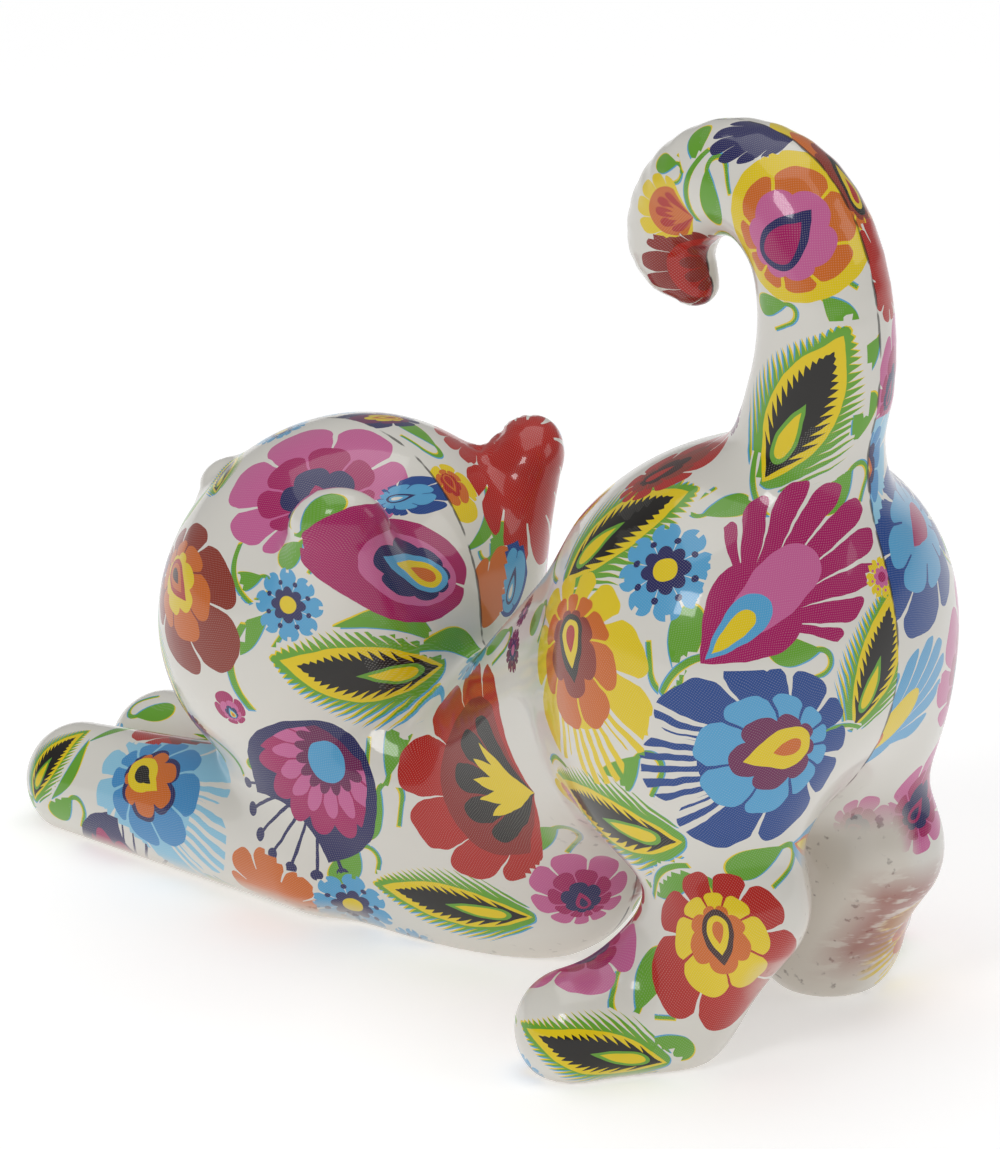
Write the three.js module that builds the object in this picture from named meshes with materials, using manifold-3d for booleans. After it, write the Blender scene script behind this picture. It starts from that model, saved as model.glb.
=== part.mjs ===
// A resin cat in a stretching pose: chest and forelegs on the ground, rump and hooked tail in the air.
// It is one casting, so it is one solid. Its form is a field of distances: rounded lumps that melt
// into each other, cut flat where the cat stands. Millimetres, +X ahead, +Y the cat's left, +Z up.
import * as THREE from "three";
import { mergeVertices } from "three/addons/utils/BufferGeometryUtils.js";
import Module from "manifold-3d";

const { Vector3 } = THREE;

// Driving dimensions. Places are measured from the ground under the middle of the rump.
const MIDDLE_X = 32.4; // from there to the middle of the cat's length, where the origin goes
const REACH = { low: [-40, -36], high: [90, 36, 96] }; // space that the cat keeps inside
const GROUND_DEPTH = 12; // how far the lumps reach under the ground before they are cut
const CELL = 2.1; // edge of the cells that the surface is drawn from
const NUDGE = 0.01; // step that a field's slope is measured over
const ROUNDS = 3; // times that a vertex is moved onto the surface
const RELAXATIONS = 2; // times that the vertices are spread evenly

// Lumps of the trunk
const RUMP = { centre: [0.3, 0, 36.2], radii: [15, 18, 15.1] };
const LOIN = { from: [5.7, 0, 32.1], to: [36, 0, 8.8], radii: [14.4, 6.8] };
const CHEST = { centre: [35.9, 0, 8.9], radii: [22.1, 9.5, 12.1] };
const TRUNK_BLEND = 8;

// Hind legs, on the left side
const THIGH = { centre: [0.6, 7.9, 28.2], radii: [11.7, 9.1, 13.4] };
const SHIN = { from: [-5, 8.7, 14.4], to: [1.2, 9.7, 5.5], radii: [6.2, 5.6] };
const HIND_FOOT = { from: [0.8, 11.3, 4.2], to: [4.4, 18.2, 3.7], radii: [4.9, 5] };
const HIND_BLEND = 7;

// Forelegs and the shoulders over them
const SHOULDER = { centre: [41, 6, 15], radii: [12, 7, 8] };
const FORELEG = { from: [44, 6.3, 6.6], to: [74.3, 5.4, 3.8], radii: [6.7, 5.1] };
const FORE_BLEND = 5;

// Head, in its own frame: +X points to the muzzle
const HEAD_PLACE = [48.1, 0, 25.6];
const HEAD_PITCH = 30;
const SKULL = { centre: [-0.7, 0, 1], radii: [15.2, 17.1, 17.1] };
const EYE = { centre: [12.4, 4.3, 4], radii: [2.5, 2.6, 2.5] };
const NOSE = { centre: [12.6, 0, -2.2], radii: [3.2, 3, 2.8] };
const LIP = { centre: [11.4, 2.6, -4.6], radii: [3.2, 3, 2.8] };
const EAR = { from: [-6.9, 8, 6.1], to: [-3.1, 11.2, 16.4], radii: [7.5, 4.4] };
const EAR_BACK = { facing: [-0.86, 0.82, -0.21], flatness: 1.4 };
const EAR_HOLLOW = { from: [1.6, 10.6, 11.5], to: [1.4, 11.2, 15.4], radii: [3.2, 1.8] };
const HEAD_BLEND = 2;
const EAR_BLEND = 3.7;
const HOLLOW_BLEND = 1.2;
const NECK_BLEND = 3.4;

// Tail: stations along its middle line (x, z) and the radius there
const TAIL = [
  [-4.4, 45, 6.6],
  [-5.2, 53.7, 6],
  [-6.2, 57.8, 5.9],
  [-6.6, 61.7, 5.7],
  [-6.3, 65.5, 5.5],
  [-5.1, 69.4, 5.3],
  [-2.6, 72.3, 5.2],
  [0.6, 73.6, 5],
  [4.1, 73.4, 4.8],
  [7.1, 71.9, 4.5],
  [9.2, 69.6, 4.1],
  [10, 67.1, 3.7],
  [9.4, 65.3, 3.1],
];
const TAIL_STEPS = 24;
const TAIL_NUB = { centre: [7.4, 0, 63.4], radii: [1.8, 2, 1.7] };
const NUB_BLEND = 1.5;
const TAIL_BLEND = 7;

// Fields: each takes a point and gives its distance to a surface, negative inside

function ellipsoid({ centre, radii }) {
  const [a, b, c] = radii;
  return (x, y, z) => {
    const u = (x - centre[0]) / a;
    const v = (y - centre[1]) / b;
    const w = (z - centre[2]) / c;
    const near = Math.hypot(u, v, w);
    const slope = Math.hypot(u / a, v / b, w / c);
    return slope > 0 ? (near * (near - 1)) / slope : -Math.min(a, b, c);
  };
}

function taper({ from, to, radii }) {
  const axis = to.map((value, i) => value - from[i]);
  const square = axis.reduce((sum, value) => sum + value * value, 0);
  return (x, y, z) => {
    const p = [x - from[0], y - from[1], z - from[2]];
    const along = (p[0] * axis[0] + p[1] * axis[1] + p[2] * axis[2]) / square;
    const t = Math.min(1, Math.max(0, along));
    const away = Math.hypot(p[0] - t * axis[0], p[1] - t * axis[1], p[2] - t * axis[2]);
    return away - (radii[0] + t * (radii[1] - radii[0]));
  };
}

// A taper pressed thin along the way it faces
function flap({ from, to, radii, facing, flatness }) {
  const cone = taper({ from, to, radii });
  const [a, b, c] = new Vector3(...facing).normalize().toArray();
  return (x, y, z) => {
    const depth = (a * (x - from[0]) + b * (y - from[1]) + c * (z - from[2])) * (flatness - 1);
    return cone(x + a * depth, y + b * depth, z + c * depth) / flatness;
  };
}

function melt(blend, ...fields) {
  return (x, y, z) =>
    fields
      .map((field) => field(x, y, z))
      .reduce((a, b) => {
        const h = Math.max(blend - Math.abs(a - b), 0) / blend;
        return Math.min(a, b) - (h * h * h * blend) / 6;
      });
}

function carve(blend, field, tool) {
  const left = melt(blend, (x, y, z) => -field(x, y, z), tool);
  return (x, y, z) => -left(x, y, z);
}

const pair = (field) => (x, y, z) => field(x, Math.abs(y), z);

function placed(field, place, pitchDegrees) {
  const c = Math.cos(THREE.MathUtils.degToRad(pitchDegrees));
  const s = Math.sin(THREE.MathUtils.degToRad(pitchDegrees));
  return (x, y, z) => {
    const dx = x - place[0];
    const dz = z - place[2];
    return field(c * dx + s * dz, y - place[1], c * dz - s * dx);
  };
}

function tail() {
  const line = new THREE.CatmullRomCurve3(TAIL.map(([x, z]) => new Vector3(x, 0, z)));
  const girth = new THREE.CatmullRomCurve3(TAIL.map(([, , r], i) => new Vector3(r, i, 0)));
  const joints = [];
  for (let i = 0; i < TAIL_STEPS; i += 1) {
    const [a, b] = [i / TAIL_STEPS, (i + 1) / TAIL_STEPS];
    joints.push(
      taper({
        from: line.getPoint(a).toArray(),
        to: line.getPoint(b).toArray(),
        radii: [girth.getPoint(a).x, girth.getPoint(b).x],
      }),
    );
  }
  const rope = (x, y, z) => Math.min(...joints.map((joint) => joint(x, y, z)));
  return melt(NUB_BLEND, rope, ellipsoid(TAIL_NUB));
}

function head() {
  const face = [ellipsoid(NOSE), pair(ellipsoid(LIP)), pair(ellipsoid(EYE))];
  const skull = melt(HEAD_BLEND, ellipsoid(SKULL), ...face);
  const ear = carve(HOLLOW_BLEND, flap({ ...EAR, ...EAR_BACK }), taper(EAR_HOLLOW));
  return placed(melt(EAR_BLEND, skull, pair(ear)), HEAD_PLACE, HEAD_PITCH);
}

function cat() {
  const trunk = melt(TRUNK_BLEND, ellipsoid(RUMP), taper(LOIN), ellipsoid(CHEST));
  const hind = melt(HIND_BLEND, ellipsoid(THIGH), taper(SHIN), taper(HIND_FOOT));
  const fore = melt(FORE_BLEND, taper(FORELEG), ellipsoid(SHOULDER));
  const withLegs = melt(FORE_BLEND, melt(HIND_BLEND, trunk, pair(hind)), pair(fore));
  return melt(TAIL_BLEND, melt(NECK_BLEND, withLegs, head()), tail());
}

// A cell of the grid: corner n lies at (bit 0, bit 1, bit 2) of n, an edge joins two corners that
// differ in one bit, and a face is a ring of four corners.
const CORNERS = [0, 1, 2, 3, 4, 5, 6, 7].map((n) => [n & 1, (n >> 1) & 1, (n >> 2) & 1]);
const EDGES = CORNERS.flatMap((_, a) => [1, 2, 4].filter((bit) => !(a & bit)).map((bit) => [a, a | bit]));
const edgeBetween = (a, b) => EDGES.findIndex(([p, q]) => p === Math.min(a, b) && q === Math.max(a, b));
const FACES = [0, 1, 2].flatMap((n) => {
  const [p, q] = [1 << ((n + 1) % 3), 1 << ((n + 2) % 3)];
  return [0, 1 << n].map((side) => [side, side | p, side | p | q, side | q]);
});

// The crossed edges of a cell, sorted into sheets: a cell may hold more than one piece of the surface
function sheets(value) {
  const sheetOf = EDGES.map((_, edge) => edge);
  const join = (e, f) => {
    const [kept, lost] = [sheetOf[e], sheetOf[f]];
    sheetOf.forEach((sheet, edge) => {
      if (sheet === lost) sheetOf[edge] = kept;
    });
  };
  const crossed = ([a, b]) => value[a] < 0 !== value[b] < 0;
  for (const ring of FACES) {
    const around = ring.map((corner, i) => edgeBetween(corner, ring[(i + 1) % 4]));
    const cuts = around.filter((edge) => crossed(EDGES[edge]));
    if (cuts.length === 2) join(...cuts);
    if (cuts.length < 4) continue;
    const middle = ring.reduce((sum, corner) => sum + value[corner], 0) < 0;
    ring.forEach((corner, i) => {
      if (value[corner] < 0 !== middle) join(around[(i + 3) % 4], around[i]);
    });
  }
  const found = new Map();
  EDGES.forEach((edge, e) => {
    if (crossed(edge)) found.set(sheetOf[e], [...(found.get(sheetOf[e]) ?? []), e]);
  });
  return [...found.values()];
}

// The point of a cell that stands for a sheet: the mean of the places where its edges are crossed
function sheetMiddle(value, sheet) {
  const sum = [0, 0, 0];
  for (const edge of sheet) {
    const [a, b] = EDGES[edge];
    const t = value[a] / (value[a] - value[b]);
    for (let n = 0; n < 3; n += 1) sum[n] += CORNERS[a][n] + t * (CORNERS[b][n] - CORNERS[a][n]);
  }
  return sum.map((total) => total / sheet.length);
}

function drawnOnto(field, point) {
  let [x, y, z] = point;
  for (let round = 0; round < ROUNDS; round += 1) {
    const value = field(x, y, z);
    const ahead = [field(x + NUDGE, y, z), field(x, y + NUDGE, z), field(x, y, z + NUDGE)];
    const slope = ahead.map((next) => (next - value) / NUDGE);
    const share = value / slope.reduce((sum, s) => sum + s * s, 0);
    x -= share * slope[0];
    y -= share * slope[1];
    z -= share * slope[2];
  }
  return [x, y, z];
}

// Two triangles for a quad, parted along its shorter diagonal
function halved([a, b, c, d], vertices) {
  const point = (index) => new Vector3().fromArray(vertices, index * 3);
  const length = (p, q) => point(p).distanceTo(point(q));
  return length(a, c) < length(b, d) ? [a, b, c, a, c, d] : [b, c, d, b, d, a];
}

// The surface where a field is zero: one vertex for each sheet in a cell, drawn onto the surface, and
// one quad for each crossed edge of the grid, between the four cells around it.
function surface(field, low, high, cell) {
  const count = low.map((value, i) => Math.ceil((high[i] - value) / cell) + 1);
  const strides = [1, count[0], count[0] * count[1]];
  const at = (i, j, k) => i + j * strides[1] + k * strides[2];
  const values = new Float32Array(count[0] * count[1] * count[2]);
  for (let k = 0; k < count[2]; k += 1)
    for (let j = 0; j < count[1]; j += 1)
      for (let i = 0; i < count[0]; i += 1)
        values[at(i, j, k)] = field(low[0] + i * cell, low[1] + j * cell, low[2] + k * cell);

  const vertices = [];
  const vertexOf = new Map();
  for (let k = 0; k < count[2] - 1; k += 1)
    for (let j = 0; j < count[1] - 1; j += 1)
      for (let i = 0; i < count[0] - 1; i += 1) {
        const value = CORNERS.map(([a, b, c]) => values[at(i + a, j + b, k + c)]);
        for (const sheet of sheets(value)) {
          const middle = sheetMiddle(value, sheet);
          const point = [i, j, k].map((index, n) => low[n] + (index + middle[n]) * cell);
          for (const edge of sheet) vertexOf.set(at(i, j, k) * EDGES.length + edge, vertices.length / 3);
          vertices.push(...drawnOnto(field, point));
        }
      }

  const triangles = [];
  for (let k = 1; k < count[2] - 1; k += 1)
    for (let j = 1; j < count[1] - 1; j += 1)
      for (let i = 1; i < count[0] - 1; i += 1)
        for (let n = 0; n < 3; n += 1) {
          const here = at(i, j, k);
          const inside = values[here] < 0;
          if (inside === values[here + strides[n]] < 0) continue;
          const [p, q] = [(n + 1) % 3, (n + 2) % 3];
          const quad = [[0, 0], [1, 0], [1, 1], [0, 1]].map(([a, b]) => {
            const corner = (a << p) | (b << q);
            const edge = edgeBetween(corner, corner | (1 << n));
            return vertexOf.get((here - a * strides[p] - b * strides[q]) * EDGES.length + edge);
          });
          if (!inside) quad.reverse();
          triangles.push(...halved(quad, vertices));
        }
  return { vertices: new Float32Array(vertices), triangles: new Uint32Array(triangles) };
}

// The same surface with each vertex drawn onto it from the middle of its neighbours
function relaxed(field, { vertices, triangles }) {
  const sums = new Float32Array(vertices.length);
  const counts = new Uint32Array(vertices.length / 3);
  triangles.forEach((vertex, i) => {
    const next = triangles[i % 3 === 2 ? i - 2 : i + 1];
    for (let n = 0; n < 3; n += 1) sums[vertex * 3 + n] += vertices[next * 3 + n];
    counts[vertex] += 1;
  });
  const middles = Array.from(counts, (count, vertex) =>
    [0, 1, 2].map((n) => sums[vertex * 3 + n] / count),
  );
  const moved = middles.flatMap((middle) => drawnOnto(field, middle));
  return { vertices: new Float32Array(moved), triangles };
}

const wasm = await Module();
wasm.setup();

function solid({ vertices, triangles }) {
  return new wasm.Manifold(
    new wasm.Mesh({ numProp: 3, vertProperties: vertices, triVerts: triangles }),
  );
}

function geometryOf(manifold) {
  const mesh = manifold.getMesh();
  const geometry = new THREE.BufferGeometry();
  geometry.setAttribute("position", new THREE.BufferAttribute(mesh.vertProperties, 3));
  geometry.setIndex(new THREE.BufferAttribute(mesh.triVerts, 1));
  geometry.computeVertexNormals();
  return geometry;
}

// The ground under the cat, which cuts its soles and its chest flat
function ground() {
  const [[lowX, lowY], [highX, highY]] = [REACH.low, REACH.high];
  const box = new THREE.BoxGeometry(highX - lowX, highY - lowY, 2 * GROUND_DEPTH);
  box.translate((highX + lowX) / 2, (highY + lowY) / 2, -GROUND_DEPTH);
  box.deleteAttribute("normal");
  box.deleteAttribute("uv");
  const merged = mergeVertices(box);
  return {
    vertices: merged.getAttribute("position").array,
    triangles: new Uint32Array(merged.index.array),
  };
}

const form = cat();
let uncut = surface(form, [...REACH.low, -GROUND_DEPTH], REACH.high, CELL);
for (let pass = 0; pass < RELAXATIONS; pass += 1) uncut = relaxed(form, uncut);
const body = solid(uncut).subtract(solid(ground()));
const resin = new THREE.MeshStandardMaterial({ color: 0xe6e2da, roughness: 0.2, metalness: 0 });
const figurine = new THREE.Mesh(geometryOf(body), resin);
figurine.name = "cat";
figurine.position.x = -MIDDLE_X;

const group = new THREE.Group();
group.add(figurine);
export default group;
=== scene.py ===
"""A stretching cat, cast in resin, wrapped in a printed floral film and lacquered."""

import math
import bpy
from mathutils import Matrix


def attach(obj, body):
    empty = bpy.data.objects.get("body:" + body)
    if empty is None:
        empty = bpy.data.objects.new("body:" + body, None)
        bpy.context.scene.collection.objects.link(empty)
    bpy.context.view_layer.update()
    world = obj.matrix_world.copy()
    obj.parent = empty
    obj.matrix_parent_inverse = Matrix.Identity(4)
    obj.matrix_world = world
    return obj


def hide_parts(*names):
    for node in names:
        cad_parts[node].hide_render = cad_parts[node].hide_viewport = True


bl_info = {
    "name": "Printed Resin Cat",
    "version": (1, 0, 0),
    "blender": (4, 5, 0),
    "location": "View3D > Sidebar > Cat",
    "description": "Casts a stretching cat, prints it with flowers and sets it on a pale stage",
    "category": "Object",
}

from collections import namedtuple

import bmesh
import bpy
import numpy as np
from mathutils import Vector
from mathutils.bvhtree import BVHTree

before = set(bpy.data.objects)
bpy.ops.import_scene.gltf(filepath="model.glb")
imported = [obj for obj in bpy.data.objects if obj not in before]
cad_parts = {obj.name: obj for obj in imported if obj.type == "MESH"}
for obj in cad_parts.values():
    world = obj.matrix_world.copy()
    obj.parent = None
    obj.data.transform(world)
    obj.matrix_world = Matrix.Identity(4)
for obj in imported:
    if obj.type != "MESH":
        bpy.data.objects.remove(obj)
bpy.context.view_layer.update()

MM = 0.001

# The casting's lumps, in millimetres from the ground under the middle of the rump.
# An ellipsoid is its centre and radii. A taper is its start, its end and the radius at each.
MIDDLE_X = 32.4
RUMP = (0.3, 0, 36.2), (15, 18, 15.1)
LOIN = (5.7, 0, 32.1), (36, 0, 8.8), (14.4, 6.8)
CHEST = (35.9, 0, 8.9), (22.1, 9.5, 12.1)
THIGH = (0.6, 7.9, 28.2), (11.7, 9.1, 13.4)
SHIN = (-5, 8.7, 14.4), (1.2, 9.7, 5.5), (6.2, 5.6)
HIND_FOOT = (0.8, 11.3, 4.2), (4.4, 18.2, 3.7), (4.9, 5)
SHOULDER = (41, 6, 15), (12, 7, 8)
FORELEG = (44, 6.3, 6.6), (74.3, 5.4, 3.8), (6.7, 5.1)
TRUNK_BLEND = 8
HIND_BLEND = 7
FORE_BLEND = 5
NECK_BLEND = 3.4

# The head is drawn level about its own middle, then set in place with its nose up.
HEAD_PLACE = (48.1, 0, 25.6)
HEAD_PITCH = math.radians(30)
SKULL = (-0.7, 0, 1), (15.2, 17.1, 17.1)
EYE = (12.4, 4.3, 4), (2.5, 2.6, 2.5)
NOSE = (12.6, 0, -2.2), (3.2, 3, 2.8)
LIP = (11.4, 2.6, -4.6), (3.2, 3, 2.8)
EAR = (-6.9, 8, 6.1), (-3.1, 11.2, 16.4), (7.5, 4.4)
EAR_FACING = (-0.86, 0.82, -0.21)
EAR_FLATNESS = 1.4
EAR_HOLLOW = (1.6, 10.6, 11.5), (1.4, 11.2, 15.4), (3.2, 1.8)
NOSE_PAD = (15.5, 0, -1.4), (0.9, 1.8, 1.1)
MOUTH_DROP = (15.4, 0, -3), (14.3, 0, -5.1), (0.6, 0.6)
MOUTH_SIDE = (14.3, 0, -5.1), (14.1, 2, -6), (0.6, 0.55)
MOUTH_CORNER = (14.1, 2, -6), (14.2, 4, -5), (0.55, 0.4)
LID_INNER = (14.5, 2.2, 3.3), (14.3, 4.4, 2.3), (0.5, 0.6)
LID_OUTER = (14.3, 4.4, 2.3), (13.9, 6.8, 3.3), (0.6, 0.45)
FACE_MIDDLE = (14.8, 0, -1.2)
HEAD_BLEND = 2
EAR_BLEND = 3.7
HOLLOW_BLEND = 1.2
FACE_BLEND = 0.3

# The tail's stations from root to tip: place along the cat, height and radius.
TAIL = (
    (-4.4, 45, 6.6),
    (-5.2, 53.7, 6),
    (-6.2, 57.8, 5.9),
    (-6.6, 61.7, 5.7),
    (-6.3, 65.5, 5.5),
    (-5.1, 69.4, 5.3),
    (-2.6, 72.3, 5.2),
    (0.6, 73.6, 5),
    (4.1, 73.4, 4.8),
    (7.1, 71.9, 4.5),
    (9.2, 69.6, 4.1),
    (10, 67.1, 3.7),
    (9.4, 65.3, 3.1),
)
TAIL_NUB = (7.4, 0, 63.4), (1.8, 2, 1.7)
NUB_BLEND = 1.5
TAIL_BLEND = 7

# Where the film gathered into small folds: a middle and how far the folds reach.
TAIL_TIP_FOLDS = (9.2, 0, 65.5), 5.5
RIGHT_EAR_FOLDS = (38.5, -11.5, 38.5), 6

# The box that the casting is drawn in, with a margin round the lumps.
CASTING_LOW = (-18.5, -25, -1.5)
CASTING_HIGH = (80.5, 25, 80.5)

# The cells that the casting is drawn in, the softness of its ground edge, and its folds' height and scale.
CELL = 0.47
GROUND_EDGE = 0.6
FOLD_HEIGHT = 0.3
FOLD_SCALE = 0.55

# Points this near the middle count as on it when the casting is split along the print's seam.
SEAM_SNAP = 0.02

# The photograph's camera, about a point inside the cat.
PHOTO_SIZE = (1000, 1149)
PHOTO_TARGET = Vector((28.1 - MIDDLE_X, 1.1, 33.3)) * MM
PHOTO_TURN = math.radians(42)
PHOTO_RISE = math.radians(20)
PHOTO_DISTANCE = 0.7
PHOTO_PIXEL = 0.085 * MM
SENSOR = 36

TAU = 2 * math.pi

# How each flower and leaf is drawn.
FULL_ROSE, ROSE, COMBED_ROSE, ASTER, POPPY, CARNATION, BELL, DAISY = range(1, 9)
FEATHER, COMMA, CRESCENT, STEM = range(1, 5)

# The inks of each flower's six layers, from its petals in to its pip.
SCHEMES = {
    "yellow": "yellow orange rust black yellow red",
    "blue": "blue sky purple yellow yellow orange",
    "red": "red crimson black yellow yellow orange",
    "sky": "mist azure navy orange yellow black",
    "orange": "rust orange yellow red orange maroon",
    "leg": "red yellow orange maroon yellow orange",
    "pink": "pink magenta navy navy magenta navy",
    "ear": "magenta pink navy sky yellow orange",
    "tail": "yellow orange pink navy magenta magenta",
    "carnation": "magenta pink sky sky yellow yellow",
    "bell": "navy magenta pink purple sky sky",
    "daisy": "sky paper navy navy yellow yellow",
    "plum": "purple paper navy navy pink pink",
    "brook": "blue sky sky navy sky paper",
    "rust": "red rust maroon maroon red red",
    "crimson": "crimson red crimson crimson red red",
    "bud": "yellow orange red orange red red",
    "ink": "navy navy navy navy navy navy",
    "amber": "orange orange orange orange orange orange",
    "streaks": "red red red red red red",
    "dusk": "navy purple yellow orange yellow red",
    "pool": "blue sky sky magenta magenta magenta",
    "sheaf": "sky yellow orange orange yellow yellow",
}

# The print as the photograph shows it. A motif has its middle in the photograph's pixels, half its
# width and length in millimetres, the way its top points in degrees from the photograph's right,
# how it is drawn, its inks and its number of petals.
Motif = namedtuple("Motif", "name pixel half top kind inks petals", defaults=("", 0))
BLOOMS = (
    Motif("haunch sunflower", (574, 682), (8.8, 9.2), 280, COMBED_ROSE, "yellow", 9),
    Motif("haunch rosette", (746, 761), (8.8, 9.2), 194, COMBED_ROSE, "blue", 9),
    Motif("rump carnation", (788, 577), (6.8, 9.8), 45, CARNATION, "carnation", 8),
    Motif("back daisy", (665, 570), (4.4, 4.4), 90, DAISY, "daisy", 8),
    Motif("shoulder poppy", (468, 778), (10, 8.6), 166, POPPY, "red"),
    Motif("flank bell", (304, 800), (7.4, 8), 243, BELL, "bell", 7),
    Motif("foreleg aster", (163, 798), (8, 9.4), 316, ASTER, "sky", 9),
    Motif("breast petals", (272, 890), (5, 4.4), 110, ROSE, "amber", 9),
    Motif("belly daisy", (353, 905), (3.9, 3.9), 90, DAISY, "daisy", 8),
    Motif("crown rosette", (312, 478), (8.4, 7.6), 110, ROSE, "pink", 9),
    Motif("cheek rose", (185, 600), (6, 8), 300, ROSE, "orange", 7),
    Motif("ear rosette", (398, 563), (4.8, 9.2), 156, ROSE, "ear", 1),
    Motif("crown petals", (415, 495), (1.9, 4.6), 10, ROSE, "brook", 7),
    Motif("cheek daisy", (288, 605), (3.3, 3.3), 90, DAISY, "daisy", 8),
    Motif("chin bud", (229, 708), (1.7, 1.8), 120, ROSE, "ear", 5),
    Motif("nape daisy", (513, 650), (1.4, 2.2), 90, DAISY, "plum", 8),
    Motif("chest rosette", (578, 888), (4.4, 4), 110, ROSE, "pink", 9),
    Motif("knee rosette", (586, 960), (5.4, 5), 250, ROSE, "pink", 7),
    Motif("leg rose", (724, 964), (6.6, 8.2), 285, ROSE, "leg", 7),
    Motif("tail sunflower", (800, 222), (6.6, 6.6), 50, FULL_ROSE, "tail", 8),
    Motif("tail curls", (752, 135), (2.8, 4), 190, POPPY, "ink"),
    Motif("tail bud", (662, 212), (3.2, 3.4), 165, POPPY, "bud"),
    Motif("tail end rose", (690, 262), (4, 4.4), 185, POPPY, "crimson"),
    Motif("far ear petals", (528, 480), (5.6, 8), 285, ROSE, "streaks", 15),
    Motif("rump petals", (682, 462), (3.2, 6), 27, ROSE, "rust", 9),
    Motif("tail root petals", (872, 470), (6, 2.4), 10, ROSE, "sky", 9),
    Motif("tail right sunflower", (836, 165), (4, 7), 125, FULL_ROSE, "yellow", 8),
    Motif("tail right petals", (882, 262), (2.6, 5), 100, ROSE, "streaks", 7),
    Motif("tail right rosette", (893, 372), (2.4, 5), 85, ROSE, "pink", 7),
    Motif("crown right petal", (456, 492), (2.6, 3), 300, ROSE, "bud", 5),
    Motif("crown top petals", (372, 418), (2.6, 4.6), 185, ROSE, "dusk", 7),
    Motif("crown red petals", (470, 446), (3.6, 4.4), 255, POPPY, "streaks"),
    Motif("nape petals", (490, 590), (2.6, 4.6), 60, ROSE, "amber", 5),
    Motif("nape blue petal", (514, 575), (1.8, 3.8), 80, FULL_ROSE, "brook", 3),
    Motif("seam spot", (882, 577), (1.8, 1.8), 90, DAISY, "tail", 7),
    Motif("right rosette", (915, 545), (7, 9), 250, ROSE, "pool", 9),
    Motif("right carnation", (900, 715), (4.6, 8), 50, CARNATION, "sheaf", 7),
    Motif("right petals", (925, 790), (4, 6), 70, ROSE, "pink", 9),
    Motif("right hock petals", (865, 825), (3.2, 2.6), 20, ROSE, "pink", 9),
)
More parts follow.
